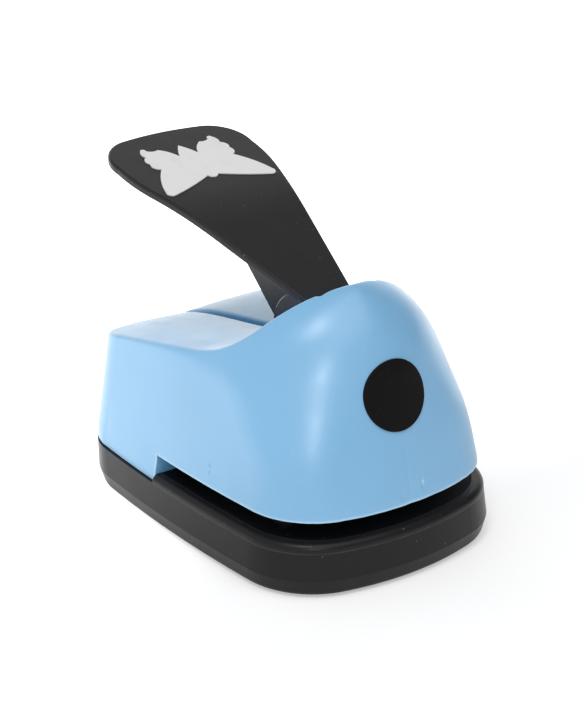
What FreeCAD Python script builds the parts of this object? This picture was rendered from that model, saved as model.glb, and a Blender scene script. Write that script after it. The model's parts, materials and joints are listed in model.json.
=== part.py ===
"""Lever craft punch: a FreeCAD macro that writes one STEP file per sub-part.

Millimetres, +Z up, the paper slot faces -Y and the lever reaches back towards +Y.
The origin is on the surface the punch stands on, at the middle of its overall length.
"""
import FreeCAD, Part
import math
import os

import Sketcher

V = FreeCAD.Vector
X_AXIS = V(1, 0, 0)
Y_AXIS = V(0, 1, 0)
Z_AXIS = V(0, 0, 1)

# ---------------------------------------------------------------- driving dimensions
DIMENSIONS = {
    # plan outline of the cover's lower edge
    "half_width": (29.8, "half width of the cover's lower edge"),
    "front_y": (-44.45, "front of the cover's lower edge"),
    "back_y": (42.85, "back of the cover's lower edge"),
    "front_heading": (15.1, "heading where the front arc meets the front corner, degrees"),
    "side_heading": (85.3, "heading where the front corner meets the side, degrees"),
    "side_end_heading": (94.2, "heading where the side meets the back corner, degrees"),
    "back_heading": (165.0, "heading where the back corner meets the back arc, degrees"),
    "front_corner_ratio": (0.57, "front corner radius over half width, low on the cover"),
    "hood_corner_ratio": (1.02, "the same up at the hood, where the front is a half round"),
    "hood_round_start": (24.0, "height where the front corners start to grow rounder"),
    "hood_round_end": (47.0, "height where they are fully round"),
    "back_corner_ratio": (0.50, "back corner radius over half width"),
    # base
    "foot_stand": (0.5, "how far the feet stand below the tray"),
    "tray_top": (10.0, "top edge of the base tray, under the rim and the cover"),
    "crease_height": (4.1, "height of the tray's widest line"),
    "tray_bottom_side": (0.8, "tray outline beyond the cover at its underside, at the sides"),
    "tray_bottom_front": (1.2, "the same, at the front"),
    "tray_bottom_back": (-3.0, "the same, at the back"),
    "tray_crease_side": (1.6, "tray outline beyond the cover at its widest line, at the sides"),
    "tray_crease_front": (2.0, "the same, at the front"),
    "tray_crease_back": (-1.6, "the same, at the back"),
    "tray_top_side": (1.0, "tray outline beyond the cover at its top edge, at the sides"),
    "tray_top_front": (1.2, "the same, at the front"),
    "tray_top_back": (-0.6, "the same, at the back"),
    "tray_wall": (2.2, "tray wall"),
    "tray_floor": (2.5, "height of the tray's inner floor"),
    "chute_half_x": (17.0, "half width of the slug chute"),
    "chute_front": (-27.0, "front of the slug chute"),
    "chute_back": (0.0, "back of the slug chute"),
    "chute_wall": (1.8, "wall round the slug chute"),
    "table_top": (11.9, "top of the paper table"),
    "foot_radius": (4.0, "rubber foot radius"),
    "foot_recess": (0.6, "depth of the recess the foot is glued into"),
    "foot_x": (19.5, "foot position across"),
    "foot_front": (-33.0, "front feet position"),
    "foot_back": (30.0, "rear feet position"),
    # cover
    "cover_seat": (10.2, "lower edge of the cover behind the throat"),
    "slot_top": (16.2, "lower edge of the cover over the paper slot"),
    "throat_y": (5.75, "back of the paper slot"),
    "cover_wall": (2.0, "cover wall"),
    "front_lean": (15.3, "lean of the front face, degrees"),
    "draft": (6.2, "draft of the sides, degrees"),
    "back_draft": (8.0, "draft of the back, degrees"),
    "shoulder_start": (40.0, "height where the sides turn in to the hood"),
    "brow_start": (42.0, "height where the front turns back to the hood"),
    "hood_top": (59.0, "height the hood would close at"),
    "brow_depth": (11.5, "how far the brow leans back over its height"),
    "crest_y": (-24.9, "hood crest, along"),
    "crest_z": (58.2, "hood crest, up"),
    "rib_inner_x": (24.3, "inner end of the throat ribs"),
    "rib_top": (21.0, "top of the throat ribs"),
    "opening_half_x": (7.4, "half width of the lever opening"),
    "opening_front": (-22.6, "front of the lever opening"),
    "opening_back": (-4.4, "back of the lever opening, where only the keel passes on"),
    "channel_front": (1.5, "front of the walls round the keel groove"),
    "groove_half_x": (1.4, "half width of the keel groove"),
    "groove_floor": (27.2, "floor of the keel groove"),
    "channel_wall": (1.6, "wall round the keel groove"),
    # cutting tools
    "plate_half_x": (22.8, "half width of the die and guide plates"),
    "plate_front": (-30.5, "front edge of the die plate"),
    "plate_back": (21.0, "back edge of the die and guide plates"),
    "die_bottom": (9.75, "underside of the die plate"),
    "die_thick": (2.55, "die plate thickness"),
    "paper_gap": (1.5, "gap between the die and guide plates"),
    "guide_front": (-36.0, "front edge of the guide plate"),
    "guide_thick": (3.0, "guide plate thickness"),
    "spacer_front": (8.2, "front edge of the gap spacer"),
    "motif_y": (-13.6, "middle of the cut motif"),
    "tool_clearance": (0.05, "clearance round the cutting punch"),
    "frame_screw_x": (17.5, "frame screws, across"),
    "frame_screw_y": (15.0, "frame screws, along"),
    # carrier
    "punch_rest": (14.3, "underside of the punch at rest"),
    "carrier_bottom": (23.4, "underside of the carrier at rest"),
    "carrier_top": (32.4, "top of the carrier at rest"),
    "carrier_half_x": (22.9, "half width of the carrier"),
    "carrier_front": (-27.6, "front of the carrier"),
    "carrier_back": (0.4, "back of the carrier"),
    "strike_top": (34.85, "top of the strike plate at rest"),
    "strike_half_x": (8.0, "half width of the strike plate"),
    "strike_half_y": (7.0, "half length of the strike plate"),
    "spring_x": (18.9, "spring axis, across"),
    "spring_y": (-13.6, "spring axis, along"),
    "spring_radius": (2.95, "spring coil radius"),
    "spring_wire": (0.45, "spring wire radius"),
    "spring_turns": (5.5, "spring turns"),
    "spring_seat": (30.2, "top of the spring pocket"),
    "pocket_radius": (3.75, "spring pocket radius"),
    "post_radius": (1.7, "guide post radius"),
    "post_bore": (1.75, "bore in the carrier for the guide post"),
    "post_top": (32.0, "top of the guide posts"),
    # lever
    "pivot_y": (-25.8, "lever pivot, along"),
    "pivot_z": (41.5, "lever pivot, up"),
    "pin_radius": (2.0, "pivot pin radius"),
    "pin_bore": (2.06, "lever bore round the pin"),
    "boss_radius": (6.0, "lever boss radius"),
    "boss_half_x": (7.1, "half width of the lever boss"),
    "nose_y": (-14.65, "middle of the round press nose, along"),
    "nose_z": (44.5, "middle of the round press nose, up"),
    "nose_radius": (9.5, "press nose radius"),
    "nose_half_x": (6.6, "half width of the press nose"),
    "keel_half_x": (1.05, "half thickness of the lever keel"),
    "tip_y": (46.7, "lever tip, along"),
    "tip_z": (73.2, "lever tip, up"),
    "paddle_slope": (13.3, "slope of the paddle, degrees"),
    "neck_slope": (21.8, "slope of the neck, degrees"),
    "bend_y": (15.5, "where the paddle's slope changes to the neck's"),
    "bend_radius": (110.0, "radius of that change"),
    "lever_thick": (1.6, "thickness of the lever plate"),
    "paddle_half_x": (18.0, "half width of the paddle"),
    "paddle_corner": (8.2, "corner radius of the paddle"),
    "taper_end_y": (24.2, "where the straight taper ends"),
    "taper_end_x": (16.6, "half width there"),
    "neck_y": (-15.3, "where the neck leaves the hood"),
    "neck_half_x": (6.3, "half width there"),
    # bracket
    "ear_inner": (7.35, "inner face of the bracket's ears"),
    "bracket_thick": (2.0, "thickness of the bracket"),
    "ear_radius": (5.4, "ear radius round the pin"),
    "ear_front": (-35.6, "front of the ears"),
    "ear_back": (-29.6, "back of the ears, below the carrier's top"),
    "flange_half_x": (17.5, "half width of the bracket's foot"),
    # surface pieces
    "sticker_y": (30.4, "middle of the lever's sticker"),
    "sticker_thick": (0.22, "thickness of the sticker"),
    "badge_z": (38.2, "height of the front badge's middle"),
    "badge_radius": (7.1, "badge radius"),
    "badge_thick": (0.35, "badge thickness"),
    "tray_round": (1.3, "rounding of the tray's lower edge"),
    "pillar_round": (5.0, "screw and foot pillars in the tray, radius"),
    "rim_round": (1.5, "rounding of the rim's outer edge"),
    "rim_width": (2.3, "width of the rim seen from above"),
    "rim_gap": (0.05, "clearance between the rim and the table"),
    "table_sink": (0.1, "how far the table lies below the rim"),
    "table_gap": (0.2, "gap round the table's neighbours"),
    "screw_round": (1.3, "screw shank radius"),
    "screw_head_round": (2.3, "screw head radius"),
    "screw_head_thick": (1.3, "screw head thickness"),
    "screw_head_top": (3.2, "depth the heads are sunk to from below"),
    "screw_pilot": (1.2, "cover screw radius in its boss"),
    "boss_round": (3.4, "cover boss radius"),
    "boss_hole_top": (24.0, "top of the cover boss hole"),
    "rib_thick": (1.8, "throat rib thickness"),
    "deck_drop": (2.2, "how far the cavity stays below the deck"),
    "plate_corner": (3.0, "corner radius of the plates"),
    "front_corner": (8.0, "radius of the front corners of the die and guide plates"),
    "cover_screw_x": (19.5, "cover screws and bosses, across"),
    "cover_screw_y": (30.0, "cover screws and bosses, along"),
    "bracket_screw_x": (14.5, "bracket screws, across"),
    "bracket_screw_y": (-33.0, "bracket screws, along"),
    "ear_waist_z": (34.0, "where the ears lean back over the carrier"),
    "pin_half_length": (10.6, "half length of the pivot pin"),
    "root_y": (-29.5, "front end of the lever plate"),
    "lever_round": (0.6, "rounding of the lever's top edge"),
    "keel_end_y": (30.0, "where the keel runs out under the paddle"),
    "keel_foot_y": (1.9, "lower corner of the keel, along"),
    "keel_foot_z": (43.3, "lower corner of the keel, up"),
    "badge_stretch": (1.08, "badge width over its height"),
}

doc = FreeCAD.newDocument("craft_punch")
sheet = doc.addObject("Spreadsheet::Sheet", "dims")


def fill_sheet():
    """Put every driving dimension in the sheet, one row each, with its alias and note."""
    for row, (alias, (value, note)) in enumerate(DIMENSIONS.items(), start=1):
        sheet.set(f"A{row}", str(value))
        sheet.setAlias(f"A{row}", alias)
        sheet.set(f"B{row}", note)
    doc.recompute()


def size(alias):
    """The sheet's current value of one dimension."""
    return float(sheet.get(alias))


fill_sheet()
sub_parts = []


# ---------------------------------------------------------------- sketch and feature helpers
def new_body(label):
    body = doc.addObject("PartDesign::Body", label)
    body.Label = label
    sub_parts.append(body)
    return body


def sketch_on(body, role, height="0"):
    """A sketch on one of the body's own origin planes, raised along its normal by height."""
    plane = next(f for f in body.Origin.OriginFeatures if f.Role == role)
    sketch = body.newObject("Sketcher::SketchObject", f"{body.Label}_sketch")
    sketch.AttachmentSupport = [(plane, "")]
    sketch.MapMode = "FlatFace"
    sketch.setExpression("AttachmentOffset.Base.z", height)
    return sketch


def polygon(sketch, corners):
    """A closed outline whose corners are pairs of expressions, fully constrained."""
    first = sketch.GeometryCount
    count = len(corners)
    spots = [V(math.cos(2 * math.pi * i / count), math.sin(2 * math.pi * i / count), 0) for i in range(count)]
    for i in range(count):
        sketch.addGeometry(Part.LineSegment(spots[i], spots[(i + 1) % count]), False)
    for i in range(count):
        sketch.addConstraint(Sketcher.Constraint("Coincident", first + i, 2, first + (i + 1) % count, 1))
    for i, (across, along) in enumerate(corners):
        for kind, value, rule in (("DistanceX", spots[i].x, across), ("DistanceY", spots[i].y, along)):
            index = sketch.addConstraint(Sketcher.Constraint(kind, -1, 1, first + i, 1, value))
            sketch.setExpression(f"Constraints[{index}]", rule)


def rectangle(sketch, x_low, x_high, y_low, y_high):
    polygon(sketch, [(x_low, y_low), (x_high, y_low), (x_high, y_high), (x_low, y_high)])


def circle(sketch, across, along, radius):
    """A circle whose centre and radius are expressions."""
    index = sketch.addGeometry(Part.Circle(V(1, 1, 0), Z_AXIS, 1), False)
    rules = (
        (Sketcher.Constraint("DistanceX", -1, 1, index, 3, 1.0), across),
        (Sketcher.Constraint("DistanceY", -1, 1, index, 3, 1.0), along),
        (Sketcher.Constraint("Radius", index, 1.0), radius),
    )
    for constraint, rule in rules:
        number = sketch.addConstraint(constraint)
        sketch.setExpression(f"Constraints[{number}]", rule)


def pad(body, sketch, length, symmetric=False):
    feature = body.newObject("PartDesign::Pad", f"{body.Label}_pad")
    feature.Profile = sketch
    feature.SideType = "Symmetric" if symmetric else "One side"
    feature.setExpression("Length", length)
    doc.recompute()
    return feature


def pocket(body, sketch, length, reverse=False):
    """Cut a sketch out of the body, and make sure that the cut removes material."""
    before = body.Shape.Volume
    feature = body.newObject("PartDesign::Pocket", f"{body.Label}_pocket")
    feature.Profile = sketch
    feature.Reversed = reverse
    feature.setExpression("Length", length)
    doc.recompute()
    if body.Shape.Volume >= before:
        raise RuntimeError(f"pocket in {body.Label} cut nothing")
    return feature


def round_edges(body, radius, wanted, kind="PartDesign::Fillet"):
    """Round or chamfer the body's edges that the test wanted(edge) accepts."""
    base = body.Tip
    names = [f"Edge{i}" for i, edge in enumerate(base.Shape.Edges, start=1) if wanted(edge)]
    feature = body.newObject(kind, f"{body.Label}_edges")
    feature.Base = (base, names)
    if kind == "PartDesign::Fillet":
        feature.Radius = radius
    else:
        feature.Size = radius
    doc.recompute()
    return feature


def upright(edge):
    start, end = edge.Vertexes[0].Point, edge.Vertexes[-1].Point
    return len(edge.Vertexes) == 2 and abs(end.z - start.z) > 0.9 * edge.Length


def shape_part(label, shape):
    """A sub-part whose shape is made by Part's own functions from the sheet's sizes."""
    feature = doc.addObject("Part::Feature", label)
    feature.Label = label
    feature.Shape = shape
    sub_parts.append(feature)
    return feature


# ---------------------------------------------------------------- plan outlines
def front_corner_at(z):
    """Front corner radius over half width: it grows smoothly from the slot up to the hood."""
    start, end = size("hood_round_start"), size("hood_round_end")
    along = min(1.0, max(0.0, (z - start) / (end - start)))
    blend = along * along * (3 - 2 * along)
    low, high = size("front_corner_ratio"), size("hood_corner_ratio")
    return low + (high - low) * blend


def plan_outline(half_width, front, back, z):
    """The punch's rounded plan as one tangent chain of arcs, at height z.

    The headings of the arcs' ends are fixed. The corner radii follow the width, and the
    front, side and back radii are solved so that the outline has the asked width and length.
    """
    a, b, c, d = (
        math.radians(size(alias))
        for alias in ("front_heading", "side_heading", "side_end_heading", "back_heading")
    )
    front_corner = front_corner_at(z) * half_width
    back_corner = size("back_corner_ratio") * half_width

    def radii(side):
        across = half_width - side * (1 - math.sin(b))
        front_arc = (across - front_corner * (math.sin(b) - math.sin(a))) / math.sin(a)
        at_back = half_width - side * (1 - math.sin(c)) + back_corner * (math.sin(d) - math.sin(c))
        return front_arc, front_corner, side, back_corner, at_back / math.sin(d)

    headings = (0.0, a, b, c, d, math.pi)

    def length(side):
        stretches = zip(radii(side), headings, headings[1:])
        return sum(radius * (math.cos(start) - math.cos(end)) for radius, start, end in stretches)

    slope = length(1.0) - length(0.0)
    side = (back - front - length(0.0)) / slope
    point = V(0, front, z)
    right = []
    for radius, start, end in zip(radii(side), headings, headings[1:]):
        middle = (start + end) / 2

        def ahead(heading):
            return point + V(
                radius * (math.sin(heading) - math.sin(start)),
                radius * (math.cos(start) - math.cos(heading)),
                0,
            )

        right.append((point, ahead(middle), ahead(end)))
        point = ahead(end)
    right[-1] = (right[-1][0], right[-1][1], V(0, back, z))
    left = [tuple(V(-p.x, p.y, p.z) for p in reversed(stretch)) for stretch in reversed(right)]
    edges = [Part.Arc(*stretch).toShape() for stretch in right + left]
    return Part.Wire(edges)


def grown_outline(side, front, back, z):
    """The cover's lower outline at height z, grown at the sides, the front and the back."""
    return plan_outline(size("half_width") + side, size("front_y") - front, size("back_y") + back, z)


def slab(outline, height):
    return Part.Face(outline).extrude(V(0, 0, height))


def block(x_low, x_high, y_low, y_high, z_low, z_high):
    return Part.makeBox(x_high - x_low, y_high - y_low, z_high - z_low, V(x_low, y_low, z_low))


def drum(radius, x_low, x_high, y, z):
    """A cylinder along X."""
    return Part.makeCylinder(radius, x_high - x_low, V(x_low, y, z), X_AXIS)


def post(radius, x, y, z_low, z_high):
    """A cylinder along Z."""
    return Part.makeCylinder(radius, z_high - z_low, V(x, y, z_low), Z_AXIS)


def both_sides(shape):
    """The shape and its mirror image across the plane X = 0."""
    return [shape, shape.mirror(V(0, 0, 0), X_AXIS)]


# ---------------------------------------------------------------- the cut motif
MOTIF_ARCS = (
    ((0.0, 5.9), (0.9, 5.6), (1.3, 4.9)),
    ((1.3, 4.9), (7.0, 7.5), (12.6, 9.5)),
    ((12.6, 9.5), (14.0, 9.2), (14.2, 7.8)),
    ((14.2, 7.8), (12.3, 2.9), (9.5, -1.2)),
    ((9.5, -1.2), (10.8, -2.4), (10.6, -4.1)),
    ((10.6, -4.1), (11.0, -5.6), (9.9, -6.9)),
    ((9.9, -6.9), (10.2, -8.4), (9.6, -9.8)),
    ((9.6, -9.8), (8.8, -10.3), (8.3, -9.4)),
    ((8.3, -9.4), (7.0, -8.7), (5.6, -8.9)),
    ((5.6, -8.9), (3.8, -7.2), (2.5, -4.6)),
    ((2.5, -4.6), (1.4, -6.9), (0.0, -9.1)),
)


def motif_face(middle_y, z, grow=0.0):
    """A plain butterfly, head towards -Y: eleven arcs on one side, mirrored to the other."""
    right = [[V(x, middle_y - y, z) for x, y in arc] for arc in MOTIF_ARCS]
    left = [[V(-p.x, p.y, p.z) for p in reversed(arc)] for arc in reversed(right)]
    wire = Part.Wire([Part.Arc(*arc).toShape() for arc in right + left])
    if grow:
        wire = wire.makeOffset2D(grow)
    face = Part.Face(wire)
    if face.normalAt(0, 0).z < 0:
        face.reverse()
    return face


# ---------------------------------------------------------------- cover
FORM_HEIGHTS = (8, 12, 16, 20, 24, 28, 32, 36, 40, 44, 47.5, 50.5, 53, 55, 56.6, 57.8, 58.6)
DRAFT_HEIGHT = 13.0


def cover_form(inset):
    """The cover's full form before the deck is cut: a loft up through its plan outlines."""
    draft = math.tan(math.radians(size("draft")))
    back_draft = math.tan(math.radians(size("back_draft")))
    lean = math.tan(math.radians(size("front_lean")))
    hood_rise = size("hood_top") - size("shoulder_start")
    brow_rise = size("hood_top") - size("brow_start")
    wires = []
    for height in FORM_HEIGHTS:
        turn = max(0.0, (height - size("shoulder_start")) / hood_rise)
        brow = max(0.0, (height - size("brow_start")) / brow_rise)
        drawn_in = (height - DRAFT_HEIGHT) * draft
        width = (size("half_width") - drawn_in) * (1 - turn**1.8) ** 0.625
        front = size("front_y") + (height - size("slot_top")) * lean
        front += size("brow_depth") * (1 - math.sqrt(1 - brow**2))
        back = size("back_y") - (height - DRAFT_HEIGHT) * back_draft
        wires.append(plan_outline(width - inset, front + inset, back - inset, height - inset * turn))
    return Part.makeLoft(wires, True, False)


def deck_cut(drop):
    """What is cut away above the deck and behind the hood's crest, lowered by drop.

    The cut's edge falls steeply from the crest, then runs gently down to the back. The deck
    is two lobes: each is crowned across, and a little lower at the middle than at the side.
    """
    cheek = [(size("crest_y"), size("crest_z")), (-20.4, 55.0), (-16.0, 49.2)]
    middle = cheek + [(-11.0, 44.6), (0.0, 40.4), (20.0, 36.8), (40.0, 31.0)]
    lobe = cheek + [(-11.0, 45.1), (0.0, 41.6), (20.0, 37.7), (40.0, 31.7)]
    shoulder = cheek + [(-11.0, 45.3), (0.0, 42.2), (20.0, 38.0), (40.0, 31.6)]
    sky = 90.0
    halves = []
    for side in (-1, 1):
        wires = []
        for x, spots in ((0.0, middle), (13.0, lobe), (36.0, shoulder)):
            points = [V(side * x, y, z - drop) for y, z in spots]
            curve = Part.BSplineCurve()
            curve.interpolate(Points=points)
            start, end = points[0], points[-1]
            ahead = start + V(0, -7.0, 3.6)
            beyond = end + V(0, 20.0, -6.0)
            corners = [end, beyond, V(side * x, beyond.y, sky), V(side * x, ahead.y, sky), ahead, start]
            lines = [Part.LineSegment(p, q).toShape() for p, q in zip(corners, corners[1:])]
            wires.append(Part.Wire([curve.toShape()] + lines))
        halves.append(Part.makeLoft(wires, True, False))
    return halves[0].fuse(halves[1])


def make_upper_cover():
    """The blue shell: hood, cheeks, dished deck with the keel groove, throat ribs and bosses."""
    outer = cover_form(0.0).cut(deck_cut(0.0))
    inner = cover_form(size("cover_wall")).cut(deck_cut(size("deck_drop")))
    groove = size("groove_half_x")
    lip = groove + size("channel_wall")
    floor = size("groove_floor")
    channel = block(-lip, lip, size("channel_front"), 60, floor - size("channel_wall"), 60)
    shell = outer.cut(inner).fuse(channel.common(outer))
    throat = size("throat_y")
    rib = block(size("rib_inner_x"), 40, throat, throat + size("rib_thick"), 0, size("rib_top"))
    boss_x, boss_y = size("cover_screw_x"), size("cover_screw_y")
    boss = post(size("boss_round"), boss_x, boss_y, size("cover_seat"), 60)
    for piece in both_sides(rib) + both_sides(boss):
        shell = shell.fuse(piece.common(outer))
    shell = shell.cut(block(-80, 80, -80, 80, -20, size("cover_seat")))
    shell = shell.cut(block(-80, 80, -80, throat, -20, size("slot_top")))
    opening, back = size("opening_half_x"), size("opening_back")
    shell = shell.cut(block(-opening, opening, size("opening_front"), back, 25, 80))
    shell = shell.cut(block(-groove, groove, back - 1, 60, floor, 80))
    screw_hole = post(size("screw_pilot"), boss_x, boss_y, 0, size("boss_hole_top"))
    for hole in both_sides(screw_hole):
        shell = shell.cut(hole)
    return shape_part("upper_cover", shell.removeSplitter())


# ---------------------------------------------------------------- base
def make_base_tray():
    """The black tray: a bulged wall, a floor with the slug chute, screw holes and foot recesses."""
    levels = (("bottom", size("foot_stand")), ("crease", size("crease_height")), ("top", size("tray_top")))
    rings = [
        grown_outline(size(f"tray_{name}_side"), size(f"tray_{name}_front"), size(f"tray_{name}_back"), z)
        for name, z in levels
    ]
    outer = Part.makeLoft(rings, True, True)
    underside = [e for e in outer.Edges if e.BoundBox.ZMax < size("foot_stand") + 0.01]
    outer = outer.makeFillet(size("tray_round"), underside)
    wall = size("tray_wall")
    hollow = slab(grown_outline(-wall, -wall, -wall - 1.0, size("tray_floor")), 40)
    tray = outer.cut(hollow)
    x, front, back = size("chute_half_x"), size("chute_front"), size("chute_back")
    rim = size("chute_wall")
    support = block(-x - rim, x + rim, front - rim, back + rim, size("foot_stand"), size("die_bottom"))
    rear = block(
        -size("plate_half_x"), size("plate_half_x"), size("spacer_front"), size("plate_back"),
        size("foot_stand"), size("die_bottom"),
    )
    tray = tray.fuse([support, rear])
    tray = tray.cut(block(-x, x, front, back, -5, 30))
    rear_hollow = block(-8, 8, size("spacer_front") + 2, size("plate_back") - 2, size("tray_floor"), 30)
    tray = tray.cut(rear_hollow)
    holes = []
    for foot_y in (size("foot_front"), size("foot_back")):
        pillar = post(size("pillar_round"), size("foot_x"), foot_y, size("foot_stand"), size("tray_top"))
        for piece in both_sides(pillar):
            tray = tray.fuse(piece)
        recess_top = size("foot_stand") + size("foot_recess")
        holes.append(post(size("foot_radius") + 0.1, size("foot_x"), foot_y, -1, recess_top))
    head_top = size("screw_head_top")
    for alias in ("cover_screw", "frame_screw"):
        screw_x, screw_y = size(f"{alias}_x"), size(f"{alias}_y")
        holes.append(post(size("screw_head_round") + 0.3, screw_x, screw_y, -1, head_top))
        holes.append(post(size("screw_round") + 0.2, screw_x, screw_y, -1, 30))
    for hole in holes:
        for piece in both_sides(hole):
            tray = tray.cut(piece)
    gap = size("table_gap")
    bed = size("plate_half_x") + gap
    bed_front, bed_back = size("plate_front") - gap, size("plate_back") + gap
    tray = tray.cut(block(-bed, bed, bed_front, bed_back, size("die_bottom"), 30))
    return shape_part("base_tray", tray.removeSplitter())


def throat_and_die_room():
    """The room that the cover's throat and the die plate take out of the table and its rim."""
    gap = size("table_gap")
    x = size("plate_half_x") + gap
    behind = block(-80, 80, size("throat_y") - gap, 80, -5, 30)
    return behind.fuse(block(-x, x, size("plate_front") - gap, 80, -5, 30))


def make_base_rim():
    """The glossy rim that frames the paper table, standing on the tray's wall."""
    side, front, bottom = size("tray_top_side"), size("tray_top_front"), size("tray_top")
    rim = slab(grown_outline(side, front, 0, bottom), size("table_top") - bottom)
    upper_edges = [e for e in rim.Edges if e.BoundBox.ZMin > size("table_top") - 0.01]
    rim = rim.makeFillet(size("rim_round"), upper_edges)
    width = size("rim_width")
    rim = rim.cut(slab(grown_outline(side - width, front - width, 0, 0), 30))
    return shape_part("base_rim", rim.cut(throat_and_die_room()).removeSplitter())


def make_paper_table():
    """The flat table the paper lies on, inside the rim, from the throat forward."""
    bottom = size("tray_top")
    inset = size("rim_width") + size("rim_gap")
    outline = grown_outline(size("tray_top_side") - inset, size("tray_top_front") - inset, 0, bottom)
    table = slab(outline, size("table_top") - size("table_sink") - bottom)
    return shape_part("paper_table", table.cut(throat_and_die_room()).removeSplitter())


def make_feet():
    """Four round rubber feet glued into the tray's recesses."""
    feet = []
    for foot_y in (size("foot_front"), size("foot_back")):
        foot = post(size("foot_radius"), size("foot_x"), foot_y, 0, size("foot_stand") + size("foot_recess"))
        lower = [e for e in foot.Edges if e.BoundBox.ZMax < 0.01]
        feet += both_sides(foot.makeChamfer(0.3, lower))
    return shape_part("rubber_feet", Part.makeCompound(feet))


# ---------------------------------------------------------------- cutting frame
def plate_body(label, front, back, bottom, thick, front_corner="plate_corner"):
    """A flat plate with rounded corners and the frame screw holes."""
    body = new_body(label)
    outline = sketch_on(body, "XY_Plane", bottom)
    rectangle(outline, "-dims.plate_half_x", "dims.plate_half_x", front, back)
    pad(body, outline, thick)
    middle = body.Shape.CenterOfMass.y
    round_edges(body, size("plate_corner"), lambda edge: upright(edge) and edge.CenterOfMass.y > middle)
    nearest = body.Shape.BoundBox.YMin + 0.1
    round_edges(body, size(front_corner), lambda edge: upright(edge) and edge.CenterOfMass.y < nearest)
    holes = sketch_on(body, "XY_Plane", bottom)
    circle(holes, "dims.frame_screw_x", "dims.frame_screw_y", "dims.screw_round + 0.1")
    circle(holes, "-dims.frame_screw_x", "dims.frame_screw_y", "dims.screw_round + 0.1")
    pocket(body, holes, thick, reverse=True)
    return body


def tool_sketch(body, grow, height):
    """The motif's outline as a sketch: its arcs are laid down whole and blocked in place."""
    sketch = sketch_on(body, "XY_Plane", height)
    for edge in motif_face(size("motif_y"), 0, grow).OuterWire.OrderedEdges:
        curve = edge.Curve
        arc = Part.ArcOfCircle(curve, edge.FirstParameter, edge.LastParameter)
        index = sketch.addGeometry(arc, False)
        sketch.addConstraint(Sketcher.Constraint("Block", index))
    return sketch


DIE_TOP = "dims.die_bottom + dims.die_thick"
GUIDE_BOTTOM = "dims.die_bottom + dims.die_thick + dims.paper_gap"
GUIDE_TOP = "dims.die_bottom + dims.die_thick + dims.paper_gap + dims.guide_thick"


def guide_top():
    return size("die_bottom") + size("die_thick") + size("paper_gap") + size("guide_thick")


def make_die_plate():
    body = plate_body(
        "die_plate", "dims.plate_front", "dims.plate_back", "dims.die_bottom", "dims.die_thick", "front_corner"
    )
    pocket(body, tool_sketch(body, size("tool_clearance"), "dims.die_bottom"), "dims.die_thick", reverse=True)


def make_gap_spacer():
    plate_body("gap_spacer", "dims.spacer_front", "dims.plate_back", DIE_TOP, "dims.paper_gap")


def make_guide_plate():
    body = plate_body(
        "guide_plate", "dims.guide_front", "dims.plate_back", GUIDE_BOTTOM, "dims.guide_thick", "front_corner"
    )
    pocket(body, tool_sketch(body, size("tool_clearance"), GUIDE_BOTTOM), "dims.guide_thick", reverse=True)
    holes = sketch_on(body, "XY_Plane", GUIDE_BOTTOM)
    for side in ("", "-"):
        circle(holes, f"{side}dims.spring_x", "dims.spring_y", "dims.post_radius")
        circle(holes, f"{side}dims.bracket_screw_x", "dims.bracket_screw_y", "dims.screw_round")
    pocket(body, holes, "dims.guide_thick", reverse=True)


def make_pivot_bracket():
    """A bent steel bracket: a foot screwed to the guide plate, and two ears for the pin."""
    body = new_body("pivot_bracket")
    foot = sketch_on(body, "XY_Plane", GUIDE_TOP)
    rectangle(foot, "-dims.flange_half_x", "dims.flange_half_x", "dims.ear_front", "dims.ear_back")
    pad(body, foot, "dims.bracket_thick")
    ears = sketch_on(body, "YZ_Plane", "0")
    top = "dims.pivot_z + dims.ear_radius"
    polygon(ears, [
        ("dims.ear_front", GUIDE_TOP),
        ("dims.ear_back", GUIDE_TOP),
        ("dims.ear_back", "dims.ear_waist_z"),
        ("dims.pivot_y + dims.ear_radius", "dims.pivot_z - 2.5"),
        ("dims.pivot_y + dims.ear_radius", top),
        ("dims.pivot_y - dims.ear_radius", top),
        ("dims.ear_front", "dims.ear_waist_z"),
    ])
    pad(body, ears, "2 * (dims.ear_inner + dims.bracket_thick)", symmetric=True)

    def pin_corner(edge):
        box = edge.BoundBox
        along_x = box.YLength < 0.01 and box.ZLength < 0.01 and box.XLength > 5
        return along_x and box.ZMax > size("pivot_z") + 5

    round_edges(body, size("ear_radius") - 0.4, pin_corner)
    between = sketch_on(body, "XY_Plane", GUIDE_TOP + " + dims.bracket_thick")
    rectangle(between, "-dims.ear_inner", "dims.ear_inner", "-60", "0")
    pocket(body, between, "60", reverse=True)
    pin = sketch_on(body, "YZ_Plane", "-30")
    circle(pin, "dims.pivot_y", "dims.pivot_z", "dims.pin_radius")
    pocket(body, pin, "60", reverse=True)
    screws = sketch_on(body, "XY_Plane", GUIDE_TOP)
    for side in ("", "-"):
        circle(screws, f"{side}dims.bracket_screw_x", "dims.bracket_screw_y", "dims.screw_round + 0.1")
    pocket(body, screws, "dims.bracket_thick", reverse=True)


def make_pivot_pin():
    """The steel pin, grooved near each end for its clip."""
    body = new_body("pivot_pin")
    profile = sketch_on(body, "YZ_Plane", "0")
    circle(profile, "dims.pivot_y", "dims.pivot_z", "dims.pin_radius")
    pad(body, profile, "2 * dims.pin_half_length", symmetric=True)
    round_edges(body, 0.4, lambda edge: True, kind="PartDesign::Chamfer")


def make_pin_clips():
    """Two spring clips pushed on the pin outside the ears."""
    inner = size("ear_inner") + size("bracket_thick")
    y, z = size("pivot_y"), size("pivot_z")
    ring = drum(size("pin_radius") + 1.4, inner, inner + 0.7, y, z)
    ring = ring.cut(drum(size("pin_radius"), inner - 1, inner + 2, y, z))
    ring = ring.cut(block(inner - 1, inner + 2, y - 1.2, y + 1.2, z - 10, z))
    return shape_part("pin_clips", Part.makeCompound(both_sides(ring)))


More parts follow.
